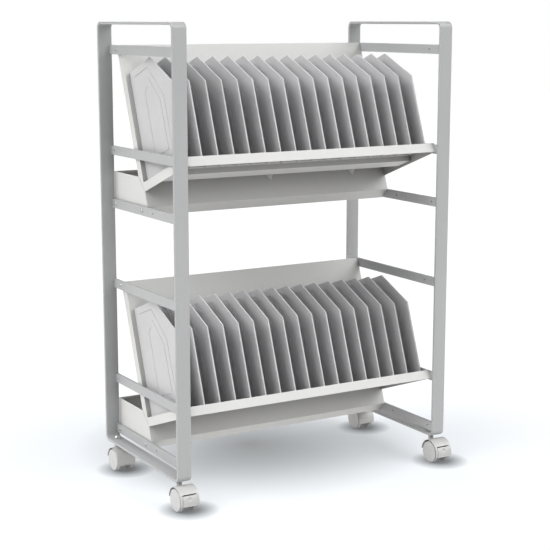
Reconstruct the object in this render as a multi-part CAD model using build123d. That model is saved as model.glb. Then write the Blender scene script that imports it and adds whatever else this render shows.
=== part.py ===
from build123d import *
import math
import os

# Two-tier rolling cart for books and tablets. Millimetres, +Z up, +X to the right, -Y to the front.
# The origin is on the floor, under the middle of the whole cart.

# End loops: closed rectangles of flat bar, one at each end
CART_WIDTH = 684.0
LOOP_DEPTH = 366.0
LOOP_TOP = 1000.0
LOOP_BOTTOM = 60.0
BAR_WIDTH = 32.0
BAR_THICK = 6.0
BEND_RADIUS = 14.0

# Rails: flat bars welded between the two uprights of each loop
RAIL_HEIGHT = 20.0
RAIL_THICK = 5.0
TIER_PITCH = 518.0
TOP_RAIL_TOP = 950.0
MIDDLE_RAIL_TOP = 731.0
BOTTOM_RAIL_TOP = 613.0
TOP_HOLE_Y = 142.0
MIDDLE_HOLE_Y = 165.0
BOTTOM_HOLES_Y = (27.0, 163.0)
HOLE_RADIUS = 2.15

# Trays: folded sheet in a V, tilted back. Distances run along the base (u) and along the back (v)
TILT = 20.0
VERTEX_Y = 20.0
VERTEX_Z = 645.0
SHEET = 1.5
BASE_LENGTH = 206.0
BACK_HEIGHT = 325.0
FLANGE = 20.0
MITRE_U = -6.0
MITRE_V = 14.0
FLANGE_TURN_V = 38.0

# Hat-shaped stiffener under the base
HAT_FRONT_U = 112.0
HAT_BACK_U = 66.0
HAT_DEPTH = 13.7
HAT_FLANGE = 10.0
HAT_END_GAP = 2.0

# Cable trough behind and below the tray
TROUGH_LIP_V = -34.0
TROUGH_CHAMFER = 21.0
TROUGH_DEPTH = 53.0
TROUGH_BACK_Y = 177.0
TROUGH_TOP_Z = 674.0
TROUGH_HEM = 6.0
SEAM = 1.0

# Gussets in the fold between base and trough
GUSSET_X = (-219.0, 0.0, 219.0)
GUSSET_SIZE = 14.0
GUSSET_HALF_WIDTH = 10.0

# Divider plates
DIVIDER_COUNT = 17
DIVIDER_SPAN = 596.0
DIVIDER_THICK = 3.0
DIVIDER_LENGTH = 188.0
DIVIDER_HEIGHT = 262.0
CHAMFER_U = 105.0
CHAMFER_V = 183.0
GROOVE_WIDTH = 1.8
GROOVE_DEPTH = 1.1
TONGUE_LENGTH = 16.0
TONGUE_REACH = 5.0
BASE_TONGUE_U = 123.0
BACK_TONGUE_V = 150.0
TONGUE_GAP = 0.3
GROUP_SIZES = (4, 3, 3, 3, 4)
GROUP_NAMES = ("left", "mid_left", "middle", "mid_right", "right")

# Screws
SCREW_RADIUS = 2.0
SCREW_HEAD_RADIUS = 4.2
SCREW_HEAD_HEIGHT = 2.4
SCREW_LENGTH = 10.0

# Casters
STEM_X = 326.0
STEM_Y = 157.0
TRAIL = 22.0
WHEEL_RADIUS = 25.0
WHEEL_INNER_X = 8.0
WHEEL_OUTER_X = 21.0
TREAD_ROUND = 2.5
HOOD_HALF_WIDTH = 22.0
HOOD_INNER = 26.5
HOOD_OUTER = 28.5
HOOD_FRONT_ANGLE = 197.0
HOOD_REAR_ANGLE = 4.0
WEB_HALF = 6.5
CAP_RADIUS = 10.0
CAP_THICK = 4.0
AXLE_RADIUS = 2.5
AXLE_HALF = 18.0
RUNNING_GAP = 0.05
STEM_RADIUS = 4.0
STEM_FOOT_Z = 27.0
COLLAR_RADIUS = 5.5
STEM_TOP_Z = 74.0
SWIVEL_GAP = 0.3
NUT_RADIUS = 6.5
NUT_HEIGHT = 9.0

# Brake lever on the front casters: a pad set in a window of the hood
PAD_HALF_WIDTH = 16.0
PAD_INNER = 26.9
PAD_OUTER = 29.3
PAD_TOP_ANGLE = 150.0
PAD_BOTTOM_ANGLE = 196.0
WINDOW_MARGIN = 0.6
WINDOW_TOP_GAP = 5.0
PIN_ORBIT = 20.5
PIN_ANGLE = 156.0
PIN_RADIUS = 1.5
EAR_HALF = 3.0
EAR_RADIUS = 3.5
EAR_SLOT_GAP = 0.5
SLOT_RADIUS = 15.0
DIMPLE_RADIUS = 3.2
DIMPLE_DEPTH = 1.2
DIMPLE_ANGLE = 166.0

HALF_WIDTH = CART_WIDTH / 2
HALF_DEPTH = LOOP_DEPTH / 2
END_X = HALF_WIDTH - BAR_WIDTH
RAIL_OUTER_X = END_X + RAIL_THICK
UPRIGHT_INNER_Y = HALF_DEPTH - BAR_THICK
# The casters trail to the front, so the whole cart is set back to stay centred on the origin
FRONT_REACH = STEM_Y + TRAIL + PAD_OUTER
CENTRE_SHIFT = (FRONT_REACH - HALF_DEPTH) / 2

TIERS = {"upper": 0.0, "lower": -TIER_PITCH}
SIDES = {"left": -1, "right": 1}


def save(name, *solids):
    """Write one node, moved so that the cart's middle is over the origin."""
    moved = [Pos(0, CENTRE_SHIFT, 0) * solid for solid in solids]
    shape = moved[0] if len(moved) == 1 else Compound(children=moved)
    shape.label = name
    export_step(shape, f"parts/{name}.step")


def yz_plate(points, x_low, x_high):
    """A flat plate between two X planes with the given outline in Y and Z."""
    outline = Plane.YZ.offset(x_low) * Polygon(*points, align=None)
    return extrude(outline, amount=x_high - x_low, dir=(1, 0, 0))


def x_cylinder(radius, x_low, x_high, y, z):
    middle = (x_low + x_high) / 2
    return Pos(middle, y, z) * Rot(0, 90, 0) * Cylinder(radius, abs(x_high - x_low))


def tray_point(u, v):
    """Y and Z of a point of the tray: u runs forward along the base, v up along the back."""
    tilt = math.radians(TILT)
    y = VERTEX_Y - u * math.cos(tilt) + v * math.sin(tilt)
    z = VERTEX_Z + u * math.sin(tilt) + v * math.cos(tilt)
    return (y, z)


def tray_plate(outline, x_low, x_high):
    return yz_plate([tray_point(u, v) for u, v in outline], x_low, x_high)


def tray_bar(u_low, u_high, v_low, v_high, half_length):
    corners = [(u_low, v_low), (u_high, v_low), (u_high, v_high), (u_low, v_high)]
    return tray_plate(corners, -half_length, half_length)


# ---------------------------------------------------------------- frame

def end_loop(side):
    """One closed loop of flat bar. Both sides are the same shape, moved sideways."""
    middle_z = (LOOP_TOP + LOOP_BOTTOM) / 2
    height = LOOP_TOP - LOOP_BOTTOM
    place = Plane.YZ.offset(END_X) * Pos(0, middle_z)
    outside = RectangleRounded(LOOP_DEPTH, height, BEND_RADIUS)
    inside = RectangleRounded(
        LOOP_DEPTH - 2 * BAR_THICK, height - 2 * BAR_THICK, BEND_RADIUS - BAR_THICK
    )
    loop = extrude(place * (outside - inside), amount=BAR_WIDTH)
    for y in (-STEM_Y, STEM_Y):
        loop -= Pos(STEM_X, y, LOOP_BOTTOM + BAR_THICK / 2) * Cylinder(
            STEM_RADIUS + 0.2, 2 * BAR_THICK
        )
    left_loop = mirror(loop, about=Plane.YZ)
    return left_loop if side < 0 else Pos(2 * STEM_X, 0, 0) * left_loop


def rail(side, top, holes_y):
    length = 2 * UPRIGHT_INNER_Y
    middle_x = side * (END_X + RAIL_THICK / 2)
    middle_z = top - RAIL_HEIGHT / 2
    bar = Pos(middle_x, 0, middle_z) * Box(RAIL_THICK, length, RAIL_HEIGHT)
    for y in holes_y:
        for sign in (-1, 1):
            bar -= x_cylinder(
                HOLE_RADIUS, middle_x - RAIL_THICK, middle_x + RAIL_THICK, sign * y, middle_z
            )
    return bar


# ---------------------------------------------------------------- trays

FLANGE_OUTLINE = [
    (BASE_LENGTH, 0.0),
    (0.0, 0.0),
    (MITRE_U, MITRE_V),
    (-FLANGE, FLANGE_TURN_V),
    (-FLANGE, BACK_HEIGHT),
    (0.0, BACK_HEIGHT),
    (0.0, FLANGE),
    (BASE_LENGTH, FLANGE),
]


def screw_holes(part, places):
    for y, z in places:
        part -= x_cylinder(HOLE_RADIUS, -END_X - 1, -END_X + 3 * SHEET, y, z)
        part -= x_cylinder(HOLE_RADIUS, END_X - 3 * SHEET, END_X + 1, y, z)
    return part


def tongue_slots():
    """The slots that the dividers' tongues pass through, in the base and in the back."""
    half = DIVIDER_THICK / 2 + TONGUE_GAP
    start, stop = BASE_TONGUE_U - TONGUE_GAP, BASE_TONGUE_U + TONGUE_LENGTH + TONGUE_GAP
    in_base = tray_bar(start, stop, FLANGE - 2 * SHEET, FLANGE + SHEET, half)
    start, stop = BACK_TONGUE_V - TONGUE_GAP, BACK_TONGUE_V + TONGUE_LENGTH + TONGUE_GAP
    in_back = tray_bar(-2 * SHEET, SHEET, start, stop, half)
    return [Pos(x, 0, 0) * slot for x in divider_places() for slot in (in_base, in_back)]


def tray():
    base = tray_bar(-SHEET, BASE_LENGTH, FLANGE - SHEET, FLANGE, END_X)
    lip = tray_bar(BASE_LENGTH - SHEET, BASE_LENGTH, 0, FLANGE, END_X)
    back = tray_bar(-SHEET, 0, FLANGE - SHEET, BACK_HEIGHT, END_X)
    top_flange = tray_bar(-FLANGE, 0, BACK_HEIGHT - SHEET, BACK_HEIGHT, END_X)
    left_flange = tray_plate(FLANGE_OUTLINE, -END_X, -END_X + SHEET)
    right_flange = tray_plate(FLANGE_OUTLINE, END_X - SHEET, END_X)
    folded = base + lip + back + top_flange + left_flange + right_flange
    folded -= tongue_slots()
    return screw_holes(folded, TRAY_SCREWS)


def stiffener():
    half_length = END_X - SHEET - HAT_END_GAP
    top = FLANGE - SHEET
    bottom = top - HAT_DEPTH
    hat = tray_bar(HAT_BACK_U, HAT_FRONT_U, bottom, bottom + SHEET, half_length)
    hat += tray_bar(HAT_BACK_U, HAT_BACK_U + SHEET, bottom, top, half_length)
    hat += tray_bar(HAT_FRONT_U - SHEET, HAT_FRONT_U, bottom, top, half_length)
    hat += tray_bar(HAT_BACK_U - HAT_FLANGE, HAT_BACK_U + SHEET, top - SHEET, top, half_length)
    hat += tray_bar(HAT_FRONT_U - SHEET, HAT_FRONT_U + HAT_FLANGE, top - SHEET, top, half_length)
    return hat


def trough():
    seat = FLANGE - SHEET
    bottom_z = VERTEX_Z - TROUGH_DEPTH
    lip_y, lip_z = tray_point(0, TROUGH_LIP_V)
    chamfer_y = lip_y + TROUGH_CHAMFER
    back_inner = TROUGH_BACK_Y - SHEET
    bend = SHEET * math.tan(math.radians(22.5))
    inner_lip_y, inner_lip_z = tray_point(-SHEET, TROUGH_LIP_V + SHEET / 2)
    folded_profile = [
        tray_point(0, seat),
        (lip_y, lip_z),
        (chamfer_y, bottom_z),
        (TROUGH_BACK_Y, bottom_z),
        (TROUGH_BACK_Y, TROUGH_TOP_Z),
        (back_inner - SHEET, TROUGH_TOP_Z),
        (back_inner - SHEET, TROUGH_TOP_Z - TROUGH_HEM),
        (back_inner, TROUGH_TOP_Z - TROUGH_HEM),
        (back_inner, bottom_z + SHEET),
        (chamfer_y + bend, bottom_z + SHEET),
        (inner_lip_y, inner_lip_z),
        tray_point(-SHEET, seat),
    ]
    end_profile = [
        tray_point(0, -SEAM),
        (lip_y, lip_z),
        (chamfer_y, bottom_z),
        (TROUGH_BACK_Y, bottom_z),
        (TROUGH_BACK_Y, TROUGH_TOP_Z),
        tray_point(-FLANGE - SEAM, FLANGE_TURN_V),
        tray_point(MITRE_U - SEAM, MITRE_V),
    ]
    channel = yz_plate(folded_profile, -END_X + SHEET, END_X - SHEET)
    left_end = yz_plate(end_profile, -END_X, -END_X + SHEET)
    right_end = yz_plate(end_profile, END_X - SHEET, END_X)
    return screw_holes(channel + left_end + right_end, TROUGH_SCREWS)


def gusset(x):
    """A corner gusset between the base and the trough, pressed to a ridge and widest along the fold."""
    seat = FLANGE - SHEET
    corner = [(0.0, seat), (GUSSET_SIZE, seat), (0.0, seat - GUSSET_SIZE)]
    ridge = Polyline(*[tray_point(u, v) for u, v in corner], close=True)
    middle = Plane.YZ.offset(x) * make_face(ridge)
    halves = []
    for way in (-1, 1):
        end = Vertex(x + way * GUSSET_HALF_WIDTH, *tray_point(0, seat))
        halves.append(loft([middle.face(), end], ruled=True))
    return halves[0] + halves[1]


def gussets():
    return [gusset(x) for x in GUSSET_X]


# ---------------------------------------------------------------- dividers

PANEL_LINE = [(20, 246), (88, 246), (140, 171), (142, 40)]
POCKET_LINE = [(84, 223), (122, 165), (124, 58), (64, 58)]
SLOT_LINE = [(58, 60), (58, 190), (62, 203), (72, 208)]


def groove(points, face_x, into):
    """A shallow groove that follows a line across a face of the divider."""
    line = Polyline(*[tray_point(u, v) for u, v in points])
    track = Plane.YZ.offset(face_x) * trace(line, line_width=GROOVE_WIDTH)
    return extrude(track, amount=GROOVE_DEPTH, dir=(into, 0, 0))


def divider_places():
    pitch = DIVIDER_SPAN / (DIVIDER_COUNT - 1)
    return [-DIVIDER_SPAN / 2 + pitch * step for step in range(DIVIDER_COUNT)]


def divider():
    """A plate with a cut-off top front corner, and a tongue into the base and one into the back."""
    outline = [
        (0.0, FLANGE),
        (BASE_TONGUE_U, FLANGE),
        (BASE_TONGUE_U, FLANGE - TONGUE_REACH),
        (BASE_TONGUE_U + TONGUE_LENGTH, FLANGE - TONGUE_REACH),
        (BASE_TONGUE_U + TONGUE_LENGTH, FLANGE),
        (DIVIDER_LENGTH, FLANGE),
        (DIVIDER_LENGTH, CHAMFER_V),
        (CHAMFER_U, DIVIDER_HEIGHT),
        (0.0, DIVIDER_HEIGHT),
        (0.0, BACK_TONGUE_V + TONGUE_LENGTH),
        (-TONGUE_REACH, BACK_TONGUE_V + TONGUE_LENGTH),
        (-TONGUE_REACH, BACK_TONGUE_V),
        (0.0, BACK_TONGUE_V),
    ]
    plate = tray_plate(outline, -DIVIDER_THICK / 2, DIVIDER_THICK / 2)
    for line in (PANEL_LINE, POCKET_LINE, SLOT_LINE):
        plate -= groove(line, -DIVIDER_THICK / 2, 1)
        plate -= groove(line, DIVIDER_THICK / 2, -1)
    return plate


def save_dividers(tier, lift):
    plate = divider()
    places = divider_places()
    first = 0
    for name, size in zip(GROUP_NAMES, GROUP_SIZES):
        group = places[first:first + size]
        save(f"{tier}_{name}_dividers", *[Pos(x, 0, lift) * plate for x in group])
        first += size


# ---------------------------------------------------------------- fasteners

TRAY_SCREWS = [
    (TOP_HOLE_Y, TOP_RAIL_TOP - RAIL_HEIGHT / 2),
    (-MIDDLE_HOLE_Y, MIDDLE_RAIL_TOP - RAIL_HEIGHT / 2),
]
TROUGH_SCREWS = [(y, BOTTOM_RAIL_TOP - RAIL_HEIGHT / 2) for y in BOTTOM_HOLES_Y]


def screw(side, y, z):
    """Dome-head screw, driven from outside through a rail and the sheet behind it."""
    head = Cylinder(SCREW_HEAD_RADIUS, SCREW_HEAD_HEIGHT, align=(Align.CENTER, Align.CENTER, Align.MIN))
    head = fillet(head.edges().group_by(Axis.Z)[-1], SCREW_HEAD_HEIGHT * 0.9)
    socket = extrude(Pos(0, 0, SCREW_HEAD_HEIGHT) * RegularPolygon(1.4, 6), amount=-1.4)
    shank = Pos(0, 0, -SCREW_LENGTH / 2) * Cylinder(SCREW_RADIUS, SCREW_LENGTH)
    turned = Rot(0, side * 90, 0) * (head - socket + shank)
    return Pos(side * RAIL_OUTER_X, y, z) * turned


def screws(places):
    return [
        Pos(0, 0, lift) * screw(side, y, z)
        for lift in TIERS.values()
        for side in SIDES.values()
        for y, z in places
    ]


def dome_nut(x, y):
    sleeve = Cylinder(NUT_RADIUS, NUT_HEIGHT, align=(Align.CENTER, Align.CENTER, Align.MIN))
    sleeve = fillet(sleeve.edges().group_by(Axis.Z)[-1], NUT_HEIGHT * 0.7)
    bore_depth = STEM_TOP_Z - LOOP_BOTTOM - BAR_THICK - 1.5
    sleeve -= Cylinder(STEM_RADIUS - 0.8, bore_depth, align=(Align.CENTER, Align.CENTER, Align.MIN))
    return Pos(x, y, LOOP_BOTTOM + BAR_THICK) * sleeve


# ---------------------------------------------------------------- casters
# Each caster is modelled about its swivel axis, with its wheels trailing to the front.

def polar(radius, angle):
    """Y and Z of a point about the wheel axle; 0 degrees is to the back, 90 is up."""
    turn = math.radians(angle)
    return (-TRAIL + radius * math.cos(turn), WHEEL_RADIUS + radius * math.sin(turn))


def sector(inner, outer, start, end, half_width):
    """A stretch of a cylinder's wall about the axle, or of the whole disc if inner is 0."""
    middle = (start + end) / 2
    outer_arc = ThreePointArc(polar(outer, start), polar(outer, middle), polar(outer, end))
    if inner > 0:
        inner_arc = ThreePointArc(polar(inner, end), polar(inner, middle), polar(inner, start))
        sides = [
            Line(polar(outer, end), polar(inner, end)),
            Line(polar(inner, start), polar(outer, start)),
        ]
        edges = [outer_arc, inner_arc] + sides
    else:
        centre = polar(0, 0)
        edges = [outer_arc, Line(polar(outer, end), centre), Line(centre, polar(outer, start))]
    face = make_face(Wire(edges))
    return extrude(Plane.YZ.offset(-half_width) * face, amount=2 * half_width, dir=(1, 0, 0))


def caster_stem():
    shank = Pos(0, 0, (STEM_FOOT_Z + LOOP_BOTTOM) / 2) * Cylinder(
        STEM_RADIUS, LOOP_BOTTOM - STEM_FOOT_Z
    )
    collar_foot = WHEEL_RADIUS + HOOD_OUTER + SWIVEL_GAP + 0.5
    collar = Pos(0, 0, (collar_foot + LOOP_BOTTOM) / 2) * Cylinder(
        COLLAR_RADIUS, LOOP_BOTTOM - collar_foot
    )
    thread_top = STEM_TOP_Z - 2.5
    thread = Pos(0, 0, (LOOP_BOTTOM + thread_top) / 2) * Cylinder(
        STEM_RADIUS - 0.8, thread_top - LOOP_BOTTOM
    )
    return shank + collar + thread


def caster_hood(braked):
    top_z = WHEEL_RADIUS + HOOD_OUTER + 0.5
    cover = sector(HOOD_INNER, HOOD_OUTER, HOOD_REAR_ANGLE, HOOD_FRONT_ANGLE, HOOD_HALF_WIDTH)
    web = sector(0, HOOD_INNER + 1, HOOD_REAR_ANGLE, 180, WEB_HALF)
    hub = x_cylinder(2.4 * AXLE_RADIUS, -WEB_HALF, WEB_HALF, -TRAIL, WHEEL_RADIUS)
    boss_foot = STEM_FOOT_Z - 3
    boss = Pos(0, 0, (boss_foot + top_z) / 2) * Cylinder(WEB_HALF, top_z - boss_foot)
    bridge = Pos(0, -TRAIL / 4, (boss_foot + top_z) / 2) * Box(
        2 * WEB_HALF, TRAIL / 2, top_z - boss_foot
    )
    cap = Pos(0, 0, top_z - CAP_THICK / 2) * Cylinder(CAP_RADIUS, CAP_THICK)
    hood = cover + web + hub + boss + bridge + cap
    if braked:
        window_top = PAD_TOP_ANGLE - WINDOW_TOP_GAP
        hood -= sector(
            HOOD_INNER - 3, HOOD_OUTER + 3, window_top, HOOD_FRONT_ANGLE + 4,
            PAD_HALF_WIDTH + WINDOW_MARGIN,
        )
        hood -= sector(
            SLOT_RADIUS, HOOD_OUTER + 3, window_top - 10, HOOD_FRONT_ANGLE, EAR_HALF + EAR_SLOT_GAP
        )
        pin_y, pin_z = polar(PIN_ORBIT, PIN_ANGLE)
        hood -= x_cylinder(PIN_RADIUS, -WEB_HALF, WEB_HALF, pin_y, pin_z)
    socket_top = top_z + 1
    hood -= Pos(0, 0, (STEM_FOOT_Z - 0.5 + socket_top) / 2) * Cylinder(
        STEM_RADIUS + RUNNING_GAP, socket_top - STEM_FOOT_Z + 0.5
    )
    hood -= x_cylinder(AXLE_RADIUS, -WEB_HALF - 1, WEB_HALF + 1, -TRAIL, WHEEL_RADIUS)
    return hood


def caster_axle():
    return x_cylinder(AXLE_RADIUS, -AXLE_HALF, AXLE_HALF, -TRAIL, WHEEL_RADIUS)


def caster_wheel(side):
    """A wheel with a rounded tread, a shallow dished face and a blind bore for the axle."""
    width = WHEEL_OUTER_X - WHEEL_INNER_X
    wheel = Cylinder(WHEEL_RADIUS, width, align=(Align.CENTER, Align.CENTER, Align.MIN))
    wheel = fillet(wheel.edges(), TREAD_ROUND)
    dish = Pos(0, 0, width - 0.6) * Cylinder(
        WHEEL_RADIUS - 5, 1, align=(Align.CENTER, Align.CENTER, Align.MIN)
    )
    bore_depth = AXLE_HALF - WHEEL_INNER_X + SWIVEL_GAP
    bore = Cylinder(AXLE_RADIUS + RUNNING_GAP, bore_depth, align=(Align.CENTER, Align.CENTER, Align.MIN))
    wheel = wheel - dish - bore
    return Pos(side * WHEEL_INNER_X, -TRAIL, WHEEL_RADIUS) * Rot(0, side * 90, 0) * wheel


def brake_lever():
    pad = sector(PAD_INNER, PAD_OUTER, PAD_TOP_ANGLE, PAD_BOTTOM_ANGLE, PAD_HALF_WIDTH)
    pin_y, pin_z = polar(PIN_ORBIT, PIN_ANGLE)
    ear = x_cylinder(EAR_RADIUS, -EAR_HALF, EAR_HALF, pin_y, pin_z)
    arm_outline = [
        polar(PAD_INNER + 0.5, PAD_TOP_ANGLE + 1),
        polar(PIN_ORBIT, PIN_ANGLE - 9),
        polar(PIN_ORBIT, PIN_ANGLE + 9),
        polar(PAD_INNER + 0.5, PIN_ANGLE + 16),
    ]
    arm = yz_plate(arm_outline, -EAR_HALF, EAR_HALF)
    lever = pad + ear + arm
    lever -= x_cylinder(PIN_RADIUS + RUNNING_GAP, -WEB_HALF, WEB_HALF, pin_y, pin_z)
    dimple_y, dimple_z = polar(PAD_OUTER + DIMPLE_RADIUS - DIMPLE_DEPTH, DIMPLE_ANGLE)
    return lever - Pos(0, dimple_y, dimple_z) * Sphere(DIMPLE_RADIUS)


def brake_pin():
    pin_y, pin_z = polar(PIN_ORBIT, PIN_ANGLE)
    return x_cylinder(PIN_RADIUS, -WEB_HALF, WEB_HALF, pin_y, pin_z)


# ---------------------------------------------------------------- the whole cart

def save_frame():
    for side_name, side in SIDES.items():
        save(f"{side_name}_end_loop", end_loop(side))
        for tier, lift in TIERS.items():
            save(f"{side_name}_{tier}_top_rail", rail(side, TOP_RAIL_TOP + lift, (TOP_HOLE_Y,)))
            save(
                f"{side_name}_{tier}_middle_rail",
                rail(side, MIDDLE_RAIL_TOP + lift, (MIDDLE_HOLE_Y,)),
            )
            save(f"{side_name}_{tier}_bottom_rail", rail(side, BOTTOM_RAIL_TOP + lift, BOTTOM_HOLES_Y))


def save_tiers():
    for tier, lift in TIERS.items():
        place = Pos(0, 0, lift)
        save(f"{tier}_tray", place * tray())
        save(f"{tier}_stiffener", place * stiffener())
        save(f"{tier}_cable_trough", place * trough())
        save(f"{tier}_gussets", *[place * plate for plate in gussets()])
        save_dividers(tier, lift)
    save("tray_screws", *screws(TRAY_SCREWS))
    save("trough_screws", *screws(TROUGH_SCREWS))


def save_casters():
    nuts = []
    for row, y in {"front": -STEM_Y, "rear": STEM_Y}.items():
        for side_name, side in SIDES.items():
            place = Pos(side * STEM_X, y, 0)
            name = f"{row}_{side_name}"
            save(f"{name}_caster_stem", place * caster_stem())
            save(f"{name}_caster_hood", place * caster_hood(row == "front"))
            save(f"{name}_caster_axle", place * caster_axle())
            save(f"{name}_outer_wheel", place * caster_wheel(side))
            save(f"{name}_inner_wheel", place * caster_wheel(-side))
            nuts.append(dome_nut(side * STEM_X, y))
            if row == "front":
                save(f"{name}_brake_lever", place * brake_lever())
                save(f"{name}_brake_pin", place * brake_pin())
    save("caster_nuts", *nuts)


os.makedirs("parts", exist_ok=True)
save_frame()
save_tiers()
save_casters()
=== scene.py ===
import math

import bmesh
import bpy
from mathutils import Matrix, Vector


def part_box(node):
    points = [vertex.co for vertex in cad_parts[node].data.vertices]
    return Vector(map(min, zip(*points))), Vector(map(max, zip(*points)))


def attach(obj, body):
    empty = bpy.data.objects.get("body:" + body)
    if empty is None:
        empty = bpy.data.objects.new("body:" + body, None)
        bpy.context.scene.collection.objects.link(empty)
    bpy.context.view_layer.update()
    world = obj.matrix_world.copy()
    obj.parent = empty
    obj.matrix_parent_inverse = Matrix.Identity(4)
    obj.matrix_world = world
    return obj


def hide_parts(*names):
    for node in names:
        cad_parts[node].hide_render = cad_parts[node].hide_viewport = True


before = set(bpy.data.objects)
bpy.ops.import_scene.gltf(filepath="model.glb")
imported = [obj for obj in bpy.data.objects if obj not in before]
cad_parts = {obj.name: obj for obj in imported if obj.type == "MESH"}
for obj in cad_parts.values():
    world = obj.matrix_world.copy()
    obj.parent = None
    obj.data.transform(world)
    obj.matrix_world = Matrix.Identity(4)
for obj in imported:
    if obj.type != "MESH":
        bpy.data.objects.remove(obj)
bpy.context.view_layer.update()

# Lengths are in metres, written in millimetres where they are small
MM = 0.001
SIDES = {"left": -1, "right": 1}
TIERS = ("upper", "lower")
LEVELS = ("top", "middle", "bottom")
ROWS = ("front", "rear")
DIVIDER_GROUPS = ("left", "mid_left", "middle", "mid_right", "right")

# The end loops' flat bar, and the welds on it
BAR_THICK = 6 * MM
BAR_EDGE = 1.3 * MM
BEND_RADIUS = 14 * MM
BEND_STEPS = 10
WELD_RADIUS = 1.7 * MM
WELD_RIPPLES = 12

# The casters. Their angles are degrees about the axle: 0 is to the rear, 90 is up
CASTER_TRAIL = 22 * MM
WHEEL_RADIUS = 25 * MM
HOOD_RADIUS = 28.5 * MM
HOOD_WALL = 1.3 * MM
HOOD_HALF = 21.7 * MM
HOOD_START = 4
HOOD_END = 197
WINDOW_START = 145
WINDOW_GAP = 0.3 * MM
BOSS_BORE = 4.3 * MM
BOSS_RADIUS = 5.9 * MM
BOSS_LOW = 24 * MM
PAD_RADIUS = 29.3 * MM
PAD_WALL = 2.4 * MM
PAD_HALF = 16 * MM
PAD_START = 150
PAD_END = 196
PAD_LIP = 191

# Soft light from the surround. Each lobe: the side it shines from, how tight it is, its strength
SKY_LOBES = [
    ((-1.0, 0.0, 0.78), 12, 6.4),
    ((0.0, -1.0, 0.78), 12, 1.3),
    ((0.0, -1.0, 1.88), 12, 0.6),
    ((1.0, -1.0, 1.1), 12, 4.4),
    ((0.0, 1.0, 0.78), 12, 2.5),
]

# The floor: its glow on the cart, its glow as seen, and the soft shadows painted on it.
# Each painted shadow is where its fade starts and ends, in metres from its centre, and its depth
FLOOR_HALF = 12.0
FLOOR_GLOW = 0.66
FLOOR_FILL = 0.52
POOL_CENTRE = (0.02, 0.17, 0)
POOL_SHADE = (0.0, 0.42, 0.55)
CASTER_SHADE = (0.02, 0.068, 0.66)
CASTER_SHADE_SHIFT = (8 * MM, -4 * MM)
BACKDROP_FADE = (0.5, 1.05)
BACKDROP_GLOW = 1.05

# The camera: degrees, metres, and millimetres of lens
CAMERA_YAW = 30.52
CAMERA_PITCH = 10.41
CAMERA_DISTANCE = 3.12
CAMERA_TARGET = (-0.0095, -0.0011, 0.442)
CAMERA_LENS = 91.27
VIEW_GAMMA = 0.87

PLAIN_WHITE = (1, 1, 1, 1)
BLACK = (0, 0, 0, 1)
# The near-black that painted shade in folds and recesses darkens towards
PAINTED_FOLD_SHADE = (0.02, 0.02, 0.02, 1)


# ---------------------------------------------------------------- node trees

class Nodes:
    """A node tree that is built one node at a time."""

    def __init__(self, tree):
        self.tree = tree

    def add(self, kind, inputs=None, **settings):
        node = self.tree.nodes.new(kind)
        for key, value in settings.items():
            setattr(node, key, value)
        for key, value in (inputs or {}).items():
            self.set(node.inputs[key], value)
        return node

    def set(self, socket, value):
        if isinstance(value, bpy.types.NodeSocket):
            self.tree.links.new(value, socket)
        else:
            socket.default_value = value

    def math(self, operation, first, second):
        return self.add("ShaderNodeMath", {0: first, 1: second}, operation=operation).outputs[0]

    def spread(self, source, low, high, start=0.3, stop=0.7):
        """low where the source is at start, high where it is at stop."""
        inputs = {
            "Value": source, "From Min": start, "From Max": stop, "To Min": low, "To Max": high
        }
        return self.add("ShaderNodeMapRange", inputs).outputs["Result"]

    def blend_colours(self, factor, first, second):
        node = self.add("ShaderNodeMix", data_type="RGBA")
        self.set(node.inputs["Factor"], factor)
        self.set(node.inputs[6], first)
        self.set(node.inputs[7], second)
        return node.outputs[2]


class MaterialNodes(Nodes):
    """A material's nodes, placed by the piece's own coordinates."""

    def __init__(self, name):
        self.material = bpy.data.materials.new(name)
        self.material.use_nodes = True
        super().__init__(self.material.node_tree)
        self.shader = self.tree.nodes["Principled BSDF"]
        self.place = self.add("ShaderNodeTexCoord").outputs["Object"]

    def shine(self, **values):
        """Sets or links the shader's own sockets, such as Coat_Weight."""
        for key, value in values.items():
            self.set(self.shader.inputs[key.replace("_", " ")], value)

    def noise(self, scale, detail=2.0, roughness=0.5):
        inputs = {"Vector": self.place, "Scale": scale, "Detail": detail, "Roughness": roughness}
        return self.add("ShaderNodeTexNoise", inputs).outputs["Fac"]

    def bump(self, height, strength, distance, normal=None):
        inputs = {"Height": height, "Strength": strength, "Distance": distance}
        if normal is not None:
            inputs["Normal"] = normal
        return self.add("ShaderNodeBump", inputs).outputs["Normal"]


# ---------------------------------------------------------------- materials

def shade(colour, factor):
    return tuple(channel * factor for channel in colour) + (1.0,)


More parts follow.
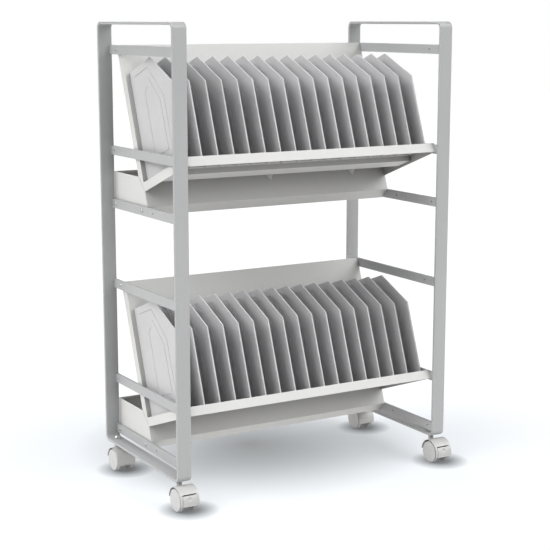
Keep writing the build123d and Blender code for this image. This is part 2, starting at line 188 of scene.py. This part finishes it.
def powder_coat(name, colour, roughness, painted_crevice_shade=0.0):
    """Baked powder paint: faint cloudy tone, fine orange peel, uneven gloss, and, if asked, painted shade
    that darkens its deep folds and recesses.
    """
    n = MaterialNodes(name)
    cloud = n.spread(n.noise(scale=5.0, detail=3.0), 0.0, 1.0)
    fleck = n.spread(n.noise(scale=1400.0), 0.0, 1.0, start=0.35, stop=0.65)
    tone = n.blend_colours(cloud, shade(colour, 0.965), shade(colour, 1.02))
    grain = n.blend_colours(fleck, shade(colour, 0.97), shade(colour, 1.02))
    paint = n.blend_colours(0.35, tone, grain)
    # Painted shade: ambient occlusion darkens the colour towards near-black in folds and recesses
    if painted_crevice_shade:
        occlusion = n.add("ShaderNodeAmbientOcclusion", {"Distance": 70 * MM}, samples=8).outputs["AO"]
        unshaded_share = n.spread(occlusion, 1 - painted_crevice_shade, 1.0, start=0.2, stop=0.85)
        paint = n.blend_colours(unshaded_share, PAINTED_FOLD_SHADE, paint)
    gloss = n.spread(n.noise(scale=60.0, detail=3.0), roughness - 0.05, roughness + 0.06)
    peel = n.bump(n.noise(scale=650.0, detail=1.5), strength=0.12, distance=0.4 * MM)
    fine_peel = n.bump(n.noise(scale=2600.0, detail=1.0), strength=0.06, distance=0.1 * MM, normal=peel)
    n.shine(Base_Color=paint, Roughness=gloss, Normal=fine_peel)
    n.shine(Specular_IOR_Level=0.42, Coat_Weight=0.08, Coat_Roughness=0.3)
    return n.material


def moulded_plastic(name, colour, roughness, grain_scale, grain, specular):
    """Injection-moulded plastic: fine spark-eroded grain and slow flow marks."""
    n = MaterialNodes(name)
    flow = n.spread(n.noise(scale=9.0, detail=4.0, roughness=0.6), 0.0, 1.0)
    tone = n.blend_colours(flow, shade(colour, 0.965), shade(colour, 1.015))
    gloss = n.spread(n.noise(scale=45.0, detail=3.0), roughness - 0.05, roughness + 0.07)
    texture = n.bump(n.noise(grain_scale), grain, distance=0.2 * MM)
    n.shine(Base_Color=tone, Roughness=gloss, Normal=texture, Specular_IOR_Level=specular)
    return n.material


def zinc_plate(name, colour, roughness):
    """Bright plated steel with fine turning marks and a faint uneven haze."""
    n = MaterialNodes(name)
    haze = n.spread(n.noise(scale=220.0, detail=3.0), 0.0, 1.0)
    tone = n.blend_colours(haze, shade(colour, 0.9), shade(colour, 1.05))
    gloss = n.spread(n.noise(scale=500.0), roughness - 0.07, roughness + 0.1)
    marks = n.bump(n.noise(scale=3000.0, detail=1.0), strength=0.08, distance=0.1 * MM)
    n.shine(Base_Color=tone, Roughness=gloss, Normal=marks, Metallic=1.0)
    return n.material


SILVER = powder_coat("silver_powder_coat", (0.45, 0.455, 0.46), 0.42)
# The white parts carry painted shade in their folds and recesses
WHITE = powder_coat("white_powder_coat", (0.645, 0.645, 0.636), 0.45, painted_crevice_shade=0.6)
ZINC = zinc_plate("zinc_plated_steel", (0.66, 0.66, 0.66), 0.36)
DIVIDER = moulded_plastic(
    "divider_plastic", (0.57, 0.567, 0.575), 0.5, grain_scale=1100.0, grain=0.1, specular=0.45
)
HOOD = moulded_plastic(
    "caster_hood_plastic", (0.55, 0.55, 0.545), 0.36, grain_scale=1500.0, grain=0.05, specular=0.5
)
WHEEL = moulded_plastic(
    "wheel_plastic", (0.58, 0.58, 0.58), 0.42, grain_scale=1500.0, grain=0.06, specular=0.45
)


# ---------------------------------------------------------------- mesh helpers

def steps_between(start, stop, count):
    return [start + (stop - start) * k / count for k in range(count + 1)]


def add_piece(name, mesh_data, material):
    mesh = bpy.data.meshes.new(name)
    mesh_data.to_mesh(mesh)
    mesh_data.free()
    mesh.materials.append(material)
    piece = bpy.data.objects.new(name, mesh)
    bpy.context.scene.collection.objects.link(piece)
    return piece


def finish_piece(name, mesh_data, material, body, smooth_angle=35):
    bmesh.ops.recalc_face_normals(mesh_data, faces=mesh_data.faces)
    piece = add_piece(name, mesh_data, material)
    for face in piece.data.polygons:
        face.use_smooth = True
    piece.data.set_sharp_from_angle(angle=math.radians(smooth_angle))
    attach(piece, body)
    return piece


def add_rings(mesh_data, rings, closed_path, capped=False):
    """Joins rings of points into a skin; each ring is a closed loop of the same length."""
    rows = [[mesh_data.verts.new(point) for point in ring] for ring in rings]
    pairs = list(zip(rows, rows[1:]))
    if closed_path:
        pairs.append((rows[-1], rows[0]))
    for near, far in pairs:
        for i in range(len(near)):
            j = (i + 1) % len(near)
            mesh_data.faces.new((near[i], near[j], far[j], far[i]))
    if capped:
        mesh_data.faces.new(rows[0])
        mesh_data.faces.new(list(reversed(rows[-1])))


def add_plate(mesh_data, caster, half, outline):
    """A flat upright plate in the middle of a caster, from its outline as seen from the side."""
    rings = [[(caster.x + x, y, z) for y, z in outline] for x in (-half, half)]
    add_rings(mesh_data, rings, closed_path=False, capped=True)


def rounded_rectangle(width, height, radius, steps=3):
    """Points round a rectangle centred on the origin, with rounded corners."""
    points = []
    corners = [(1, 1, 0), (-1, 1, 90), (-1, -1, 180), (1, -1, 270)]
    for sign_a, sign_b, start in corners:
        for step in range(steps + 1):
            turn = math.radians(start + 90 * step / steps)
            a = sign_a * (width / 2 - radius) + radius * math.cos(turn)
            b = sign_b * (height / 2 - radius) + radius * math.sin(turn)
            points.append((a, b))
    return points


def add_lathe(mesh_data, profile, centre, axis, segments=48):
    """Turns (along, radius) points about an axis; the ends close on it where the radius is 0."""
    rotation = Vector((0, 0, 1)).rotation_difference(Vector(axis)).to_matrix().to_4x4()
    place = Matrix.Translation(Vector(centre)) @ rotation
    rows = []
    for along, radius in profile:
        if radius == 0:
            rows.append([mesh_data.verts.new(place @ Vector((0, 0, along)))])
            continue
        row = []
        for k in range(segments):
            turn = 2 * math.pi * k / segments
            point = Vector((radius * math.cos(turn), radius * math.sin(turn), along))
            row.append(mesh_data.verts.new(place @ point))
        rows.append(row)
    for near, far in zip(rows, rows[1:]):
        for k in range(segments):
            n = (k + 1) % segments
            if len(near) == 1:
                mesh_data.faces.new((near[0], far[k], far[n]))
            elif len(far) == 1:
                mesh_data.faces.new((near[k], far[0], near[n]))
            else:
                mesh_data.faces.new((near[k], far[k], far[n], near[n]))


def round_edges(piece, width, segments=2, angle=35):
    bevel = piece.modifiers.new("rounded_edges", "BEVEL")
    bevel.width = width
    bevel.segments = segments
    bevel.limit_method = "ANGLE"
    bevel.angle_limit = math.radians(angle)
    bevel.use_clamp_overlap = True
    bevel.harden_normals = True
    normals = piece.modifiers.new("flat_faces", "WEIGHTED_NORMAL")
    normals.keep_sharp = True


def thicken(piece, wall, edge):
    """Gives a curved sheet its wall, inwards, and rounds its edges."""
    solid = piece.modifiers.new("wall", "SOLIDIFY")
    solid.thickness = wall
    solid.offset = -1
    solid.use_even_offset = True
    round_edges(piece, edge, segments=3, angle=40)


def dress_node(node, material, edge):
    """Gives a CAD part its material, and rounds its edges."""
    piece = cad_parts[node]
    piece.data.materials.clear()
    piece.data.materials.append(material)
    weld = piece.modifiers.new("merged_corners", "WELD")
    weld.merge_threshold = 0.01 * MM
    merged = piece.modifiers.new("whole_faces", "DECIMATE")
    merged.decimate_type = "DISSOLVE"
    merged.angle_limit = math.radians(1)
    round_edges(piece, edge)


# ---------------------------------------------------------------- end loops

def loop_bar(side_name):
    """The closed loop of flat bar, bent at its corners, with softly rounded bar edges."""
    low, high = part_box(f"{side_name}_end_loop")
    middle_x = (low.x + high.x) / 2
    section = rounded_rectangle(high.x - low.x, BAR_THICK, BAR_EDGE)
    corners = [
        (high.y - BEND_RADIUS, high.z - BEND_RADIUS, 0),
        (low.y + BEND_RADIUS, high.z - BEND_RADIUS, 90),
        (low.y + BEND_RADIUS, low.z + BEND_RADIUS, 180),
        (high.y - BEND_RADIUS, low.z + BEND_RADIUS, 270),
    ]
    rings = []
    for y, z, start in corners:
        for degrees in steps_between(start, start + 90, BEND_STEPS):
            turn = math.radians(degrees)
            ring = []
            for across, depth in section:
                reach = BEND_RADIUS - BAR_THICK / 2 + depth
                ring.append((middle_x + across, y + reach * math.cos(turn), z + reach * math.sin(turn)))
            rings.append(ring)
    mesh_data = bmesh.new()
    add_rings(mesh_data, rings, closed_path=True)
    piece = finish_piece(f"{side_name}_loop_bar", mesh_data, SILVER, "cart_frame")
    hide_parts(f"{side_name}_end_loop")


def add_weld(mesh_data, x, y, z_low, z_high):
    """One upright bead of weld, rippled along its length and narrower at its ends."""
    steps = 3 * WELD_RIPPLES
    sides = 8
    rings = []
    for share in steps_between(0, 1, steps):
        swell = 1 + 0.16 * math.sin(2 * math.pi * share * WELD_RIPPLES)
        taper = min(1.0, 5 * share + 0.35, 5 * (1 - share) + 0.35)
        radius = WELD_RADIUS * swell * taper
        z = z_low + share * (z_high - z_low)
        ring = []
        for side in range(sides):
            turn = 2 * math.pi * side / sides
            ring.append((x + radius * math.cos(turn), y + radius * math.sin(turn), z))
        rings.append(ring)
    add_rings(mesh_data, rings, closed_path=False, capped=True)


def weld_beads(side_name):
    """A small bead down each end of every rail, where it meets the upright."""
    mesh_data = bmesh.new()
    for tier in TIERS:
        for level in LEVELS:
            low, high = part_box(f"{side_name}_{tier}_{level}_rail")
            outer_x = low.x if SIDES[side_name] < 0 else high.x
            for end_y in (low.y, high.y):
                add_weld(mesh_data, outer_x, end_y, low.z, high.z)
    finish_piece(f"{side_name}_weld_beads", mesh_data, SILVER, "cart_frame", 60)


# ---------------------------------------------------------------- casters

class Caster:
    """The places that every piece of one caster is built from."""

    def __init__(self, row, side_name):
        self.name = f"{row}_{side_name}"
        self.side = SIDES[side_name]
        self.braked = row == "front"
        low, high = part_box(f"{self.name}_caster_stem")
        self.x = (low.x + high.x) / 2
        self.y = (low.y + high.y) / 2
        self.stem_low = low.z
        self.stem_high = high.z
        self.axle_y = self.y - CASTER_TRAIL
        self.axle_z = WHEEL_RADIUS

    def polar(self, radius, degrees):
        turn = math.radians(degrees)
        return self.axle_y + radius * math.cos(turn), self.axle_z + radius * math.sin(turn)

    def arc(self, radius, angles):
        return [self.polar(radius, degrees) for degrees in angles]


def caster_wheel(caster, which):
    """A wheel with a stepped hub, a narrow rounded tread, and a cover disc with a ring on it."""
    outward = caster.side if which == "outer" else -caster.side
    # Each point: along the axle from the middle of the caster, then out from the axle, in millimetres
    hub_side = [(8.3, 0), (8.0, 7.5), (8.6, 8.4), (10.6, 9.2), (11.6, 10.6), (12.0, 14.0), (12.2, 22.4)]
    tread = [(12.6, 24.0), (13.6, 24.9), (14.6, 25.0), (16.6, 25.0), (17.5, 24.7), (17.9, 24.0)]
    groove = [(18.0, 22.9), (19.4, 22.8)]
    cover_rim = [(19.7, 23.7), (20.9, 23.6), (21.3, 23.0), (21.4, 22.2), (21.2, 20.6)]
    cover_face = [(21.1, 12.0), (21.1, 6.4)]
    cover_ring = [(20.9, 6.1), (20.6, 6.0), (20.6, 5.4), (20.9, 5.2)]
    cover_middle = [(21.1, 3.0), (21.2, 0)]
    profile = hub_side + tread + groove + cover_rim + cover_face + cover_ring + cover_middle
    points = [(along * MM, radius * MM) for along, radius in profile]
    mesh_data = bmesh.new()
    centre = (caster.x, caster.axle_y, caster.axle_z)
    add_lathe(mesh_data, points, centre, (outward, 0, 0), segments=72)
    name = f"{caster.name}_{which}"
    piece = finish_piece(f"{name}_tread_wheel", mesh_data, WHEEL, f"{name}_roller", 30)
    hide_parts(f"{name}_wheel")


def curved_panel(caster, radius, edges_x, angles, keep=None):
    """A grid on a cylinder about the axle. keep says which of its cells are there."""
    mesh_data = bmesh.new()
    grid = []
    for degrees in angles:
        y, z = caster.polar(radius, degrees)
        grid.append([mesh_data.verts.new((caster.x + x, y, z)) for x in edges_x])
    for i in range(len(angles) - 1):
        for j in range(len(edges_x) - 1):
            x = (edges_x[j] + edges_x[j + 1]) / 2
            if keep is None or keep(x, (angles[i] + angles[i + 1]) / 2):
                mesh_data.faces.new((grid[i][j], grid[i][j + 1], grid[i + 1][j + 1], grid[i + 1][j]))
    loose = [vert for vert in mesh_data.verts if not vert.link_faces]
    bmesh.ops.delete(mesh_data, geom=loose, context="VERTS")
    return mesh_data


def hood_shell(caster):
    """The curved cover over both wheels, with a window for the brake pad on a braked caster."""
    window_x = PAD_HALF + WINDOW_GAP
    edges_x = [-HOOD_HALF, -window_x, window_x, HOOD_HALF]
    angles = steps_between(HOOD_START, WINDOW_START, 26) + steps_between(WINDOW_START, HOOD_END, 10)[1:]

    def keep(x, degrees):
        in_window = abs(x) < window_x and degrees > WINDOW_START
        return not (caster.braked and in_window)

    mesh_data = curved_panel(caster, HOOD_RADIUS, edges_x, angles, keep)
    name = f"{caster.name}_hood_shell"
    piece = finish_piece(name, mesh_data, HOOD, f"{caster.name}_caster", 40)
    thicken(piece, HOOD_WALL, 0.5 * MM)
    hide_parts(f"{caster.name}_caster_hood")


def hood_web(caster):
    """The wall between the wheels, from the shell down to the axle."""
    web_end = 138 if caster.braked else 176
    outline = caster.arc(HOOD_RADIUS - 1.2 * MM, steps_between(6, web_end, 24))
    outline += caster.arc(8 * MM, (186, 230, 275))
    outline += caster.arc(9 * MM, (320,))
    mesh_data = bmesh.new()
    add_plate(mesh_data, caster, 6.5 * MM, outline)
    name = f"{caster.name}_hood_web"
    piece = finish_piece(name, mesh_data, HOOD, f"{caster.name}_caster", 30)
    round_edges(piece, 0.6 * MM)
    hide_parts(f"{caster.name}_caster_hood")


def swivel_boss(caster):
    """The tube in the hood that turns about the stem."""
    top = caster.axle_z + HOOD_RADIUS + 0.5 * MM
    low_end = [(BOSS_LOW, BOSS_BORE), (BOSS_LOW, 5.4 * MM), (BOSS_LOW + 0.5 * MM, BOSS_RADIUS)]
    top_end = [(top - 0.8 * MM, BOSS_RADIUS), (top - 0.2 * MM, 5.6 * MM), (top, 5.0 * MM), (top, BOSS_BORE)]
    mesh_data = bmesh.new()
    add_lathe(mesh_data, low_end + top_end + low_end[:1], (caster.x, caster.y, 0), (0, 0, 1))
    bmesh.ops.remove_doubles(mesh_data, verts=mesh_data.verts, dist=0.01 * MM)
    name = f"{caster.name}_swivel_boss"
    piece = finish_piece(name, mesh_data, HOOD, f"{caster.name}_caster", 30)
    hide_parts(f"{caster.name}_caster_hood")


def caster_stem(caster):
    """The fixed collar under the bar, with the shank below it and the thread above."""
    foot = caster.axle_z + HOOD_RADIUS + 0.8 * MM
    bar_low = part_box("left_end_loop")[0].z
    shank = [(caster.stem_low, 0), (caster.stem_low, 3.4 * MM), (caster.stem_low + 0.6 * MM, 4.0 * MM)]
    collar = [(foot, 4.0 * MM), (foot, 4.6 * MM), (foot + 0.4 * MM, 5.0 * MM)]
    neck = [(bar_low - 1.8 * MM, 5.0 * MM), (bar_low - 1.3 * MM, 4.7 * MM), (bar_low, 4.7 * MM)]
    thread = [(bar_low, 3.2 * MM), (caster.stem_high, 3.2 * MM), (caster.stem_high, 0)]
    mesh_data = bmesh.new()
    add_lathe(mesh_data, shank + collar + neck + thread, (caster.x, caster.y, 0), (0, 0, 1))
    name = f"{caster.name}_swivel_stem"
    piece = finish_piece(name, mesh_data, ZINC, "cart_frame", 30)
    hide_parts(f"{caster.name}_caster_stem")


def brake_pad(caster):
    """The lever's pad, curved like the hood, with a thumb dimple and a raised lower lip."""
    dimple_angle = 166
    dimple_radius = 4.4 * MM
    dimple_depth = 1.9 * MM
    lip_rise = 1.2 * MM
    lip_swell = 0.8 * MM
    edges_x = steps_between(-PAD_HALF, PAD_HALF, 44)
    mesh_data = curved_panel(caster, PAD_RADIUS, edges_x, steps_between(PAD_START, PAD_END, 34))
    dimple = Vector((caster.x, *caster.polar(PAD_RADIUS, dimple_angle)))
    lip_top = caster.polar(PAD_RADIUS, PAD_LIP)[1]
    for vert in mesh_data.verts:
        away = (vert.co - dimple).length / dimple_radius
        sink = dimple_depth * (1 - away ** 3) if away < 1 else 0
        inward = Vector((0, caster.axle_y - vert.co.y, caster.axle_z - vert.co.z)).normalized()
        below_lip = (lip_top - vert.co.z) / lip_rise
        swell = lip_swell * min(1.0, max(0.0, below_lip))
        vert.co += inward * (sink - swell)
    name = f"{caster.name}_brake_pad"
    piece = finish_piece(name, mesh_data, HOOD, f"{caster.name}_brake", 40)
    thicken(piece, PAD_WALL, 0.4 * MM)
    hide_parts(f"{caster.name}_brake_lever")


def brake_ear(caster):
    """The lever's short arm, from its pin to the inside of its pad."""
    low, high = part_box(f"{caster.name}_brake_pin")
    pin_y, pin_z = (low.y + high.y) / 2, (low.z + high.z) / 2
    eye_radius = 3.4 * MM
    outline = []
    for degrees in steps_between(126, 336, 10):
        turn = math.radians(degrees)
        outline.append((pin_y + eye_radius * math.cos(turn), pin_z + eye_radius * math.sin(turn)))
    outline += caster.arc(PAD_RADIUS - PAD_WALL, (152, 170))
    mesh_data = bmesh.new()
    add_plate(mesh_data, caster, 3 * MM, outline)
    name = f"{caster.name}_brake_ear"
    piece = finish_piece(name, mesh_data, HOOD, f"{caster.name}_brake", 40)
    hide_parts(f"{caster.name}_brake_lever")


# ---------------------------------------------------------------- the cart

for side_name in SIDES:
    loop_bar(side_name)
    weld_beads(side_name)
    for tier in TIERS:
        for level in LEVELS:
            dress_node(f"{side_name}_{tier}_{level}_rail", SILVER, 0.8 * MM)

for tier in TIERS:
    for part in ("tray", "stiffener", "cable_trough", "gussets"):
        dress_node(f"{tier}_{part}", WHITE, 0.5 * MM)
    for group in DIVIDER_GROUPS:
        dress_node(f"{tier}_{group}_dividers", DIVIDER, 0.3 * MM)

for node in ("tray_screws", "trough_screws", "caster_nuts"):
    dress_node(node, ZINC, 0.2 * MM)

casters = [Caster(row, side_name) for row in ROWS for side_name in SIDES]
for caster in casters:
    hood_shell(caster)
    hood_web(caster)
    swivel_boss(caster)
    caster_stem(caster)
    caster_wheel(caster, "outer")
    caster_wheel(caster, "inner")
    dress_node(f"{caster.name}_caster_axle", ZINC, 0.2 * MM)
    if caster.braked:
        brake_pad(caster)
        brake_ear(caster)
        dress_node(f"{caster.name}_brake_pin", ZINC, 0.1 * MM)


# ---------------------------------------------------------------- floor, light and camera

def painted_shadow_patch(n, centre, near, far, depth):
    """1 on unshaded floor, falling to 1 - depth around the centre of a soft round painted shadow."""
    away = n.add("ShaderNodeVectorMath", {0: n.place, 1: centre}, operation="DISTANCE").outputs["Value"]
    return n.spread(away, 1 - depth, 1.0, near, far)


def caster_shade(n):
    """How much of the floor is left unshaded by the painted shadows beside the casters."""
    shift_x, shift_y = CASTER_SHADE_SHIFT
    unshaded_floor = 1.0
    for caster in casters:
        centre = (caster.x + shift_x, caster.axle_y + shift_y, 0)
        # Painted shadow: a soft dark patch on the floor beside each caster
        unshaded_floor = n.math("MULTIPLY", unshaded_floor, painted_shadow_patch(n, centre, *CASTER_SHADE))
    return unshaded_floor


def floor_material():
    """A pale floor that glows on the cart. Seen directly, it carries painted soft shadows under the cart
    and beside the casters, and fades to white.
    """
    n = MaterialNodes("studio_floor")
    direct = n.add("ShaderNodeLightPath").outputs["Is Camera Ray"]
    outside_caster_shadows = caster_shade(n)
    # Painted shadow: a soft pool under the cart, on top of the painted shadows beside the casters
    unshaded_floor = n.math("MULTIPLY", outside_caster_shadows, painted_shadow_patch(n, POOL_CENTRE, *POOL_SHADE))
    cloud = n.spread(n.noise(scale=1.5), 0.0, 1.0)
    tone = n.blend_colours(cloud, (0.42, 0.43, 0.44, 1), (0.43, 0.44, 0.45, 1))
    # The painted shadows darken the seen floor towards black and dim its seen glow
    seen_tone = n.blend_colours(unshaded_floor, BLACK, tone)
    tint = n.blend_colours(direct, (1.0, 0.99, 0.975, 1), (0.93, 0.965, 1.0, 1))
    # The painted shadows beside the casters also dim the glow that the floor throws on the cart
    unseen_glow = n.math("MULTIPLY", outside_caster_shadows, FLOOR_GLOW)
    seen_glow = n.math("MULTIPLY", unshaded_floor, FLOOR_FILL)
    glow = n.add("ShaderNodeMix", {"Factor": direct, "A": unseen_glow, "B": seen_glow})
    n.shine(
        Base_Color=n.blend_colours(direct, (0.25, 0.25, 0.25, 1), seen_tone),
        Roughness=0.7,
        Specular_IOR_Level=0.2,
        Emission_Color=tint,
        Emission_Strength=glow.outputs["Result"],
    )
    backdrop = n.add("ShaderNodeEmission", {"Color": PLAIN_WHITE, "Strength": BACKDROP_GLOW})
    reach = n.add("ShaderNodeVectorMath", {0: n.place}, operation="LENGTH").outputs["Value"]
    away = n.spread(reach, 0.0, 1.0, *BACKDROP_FADE)
    inputs = {"Fac": n.math("MULTIPLY", away, direct), 1: n.shader.outputs[0], 2: backdrop.outputs[0]}
    mix = n.add("ShaderNodeMixShader", inputs)
    n.set(n.tree.nodes["Material Output"].inputs["Surface"], mix.outputs[0])
    return n.material


def floor():
    """A wide flat floor under the cart."""
    mesh_data = bmesh.new()
    corners = [(-1, -1), (1, -1), (1, 1), (-1, 1)]
    mesh_data.faces.new([mesh_data.verts.new((x * FLOOR_HALF, y * FLOOR_HALF, 0)) for x, y in corners])
    piece = add_piece("studio_floor", mesh_data, floor_material())


def sky_lobe(n, direction, tightness, strength):
    """The brightness of the surround towards one side, fading smoothly away from it."""
    place = n.add("ShaderNodeTexCoord").outputs["Generated"]
    inputs = {0: place, 1: Vector(direction).normalized()}
    facing = n.add("ShaderNodeVectorMath", inputs, operation="DOT_PRODUCT").outputs["Value"]
    lit = n.math("MAXIMUM", facing, 0)
    faded = n.math("POWER", lit, tightness)
    return n.math("MULTIPLY", faded, strength)


def sky():
    """A studio surround of soft lights: seen directly it is a plain white backdrop."""
    world = bpy.data.worlds.new("studio")
    world.use_nodes = True
    bpy.context.scene.world = world
    n = Nodes(world.node_tree)
    total = 0
    for lobe in SKY_LOBES:
        total = n.math("ADD", total, sky_lobe(n, *lobe))
    light = n.tree.nodes["Background"]
    n.set(light.inputs["Color"], PLAIN_WHITE)
    n.set(light.inputs["Strength"], total)
    seen = n.add("ShaderNodeBackground", {"Color": PLAIN_WHITE})
    direct = n.add("ShaderNodeLightPath").outputs["Is Camera Ray"]
    mix = n.add("ShaderNodeMixShader", {"Fac": direct, 1: light.outputs[0], 2: seen.outputs[0]})
    n.set(n.tree.nodes["World Output"].inputs["Surface"], mix.outputs[0])


def studio_camera():
    """Looks at the cart from its left front, a little above its top."""
    yaw = math.radians(CAMERA_YAW)
    pitch = math.radians(CAMERA_PITCH)
    heading = Vector((math.sin(yaw) * math.cos(pitch), math.cos(yaw) * math.cos(pitch), -math.sin(pitch)))
    camera = bpy.data.cameras.new("studio_camera")
    camera.lens = CAMERA_LENS
    camera.sensor_width = 36
    camera.clip_end = 60
    holder = bpy.data.objects.new("studio_camera", camera)
    holder.location = Vector(CAMERA_TARGET) - CAMERA_DISTANCE * heading
    holder.rotation_euler = heading.to_track_quat("-Z", "Y").to_euler()
    bpy.context.scene.collection.objects.link(holder)
    bpy.context.scene.camera = holder


floor()
sky()
studio_camera()
bpy.context.scene.view_settings.view_transform = "Standard"
bpy.context.scene.view_settings.look = "None"
bpy.context.scene.view_settings.gamma = VIEW_GAMMA
bpy.context.scene.view_settings.exposure = 0.0
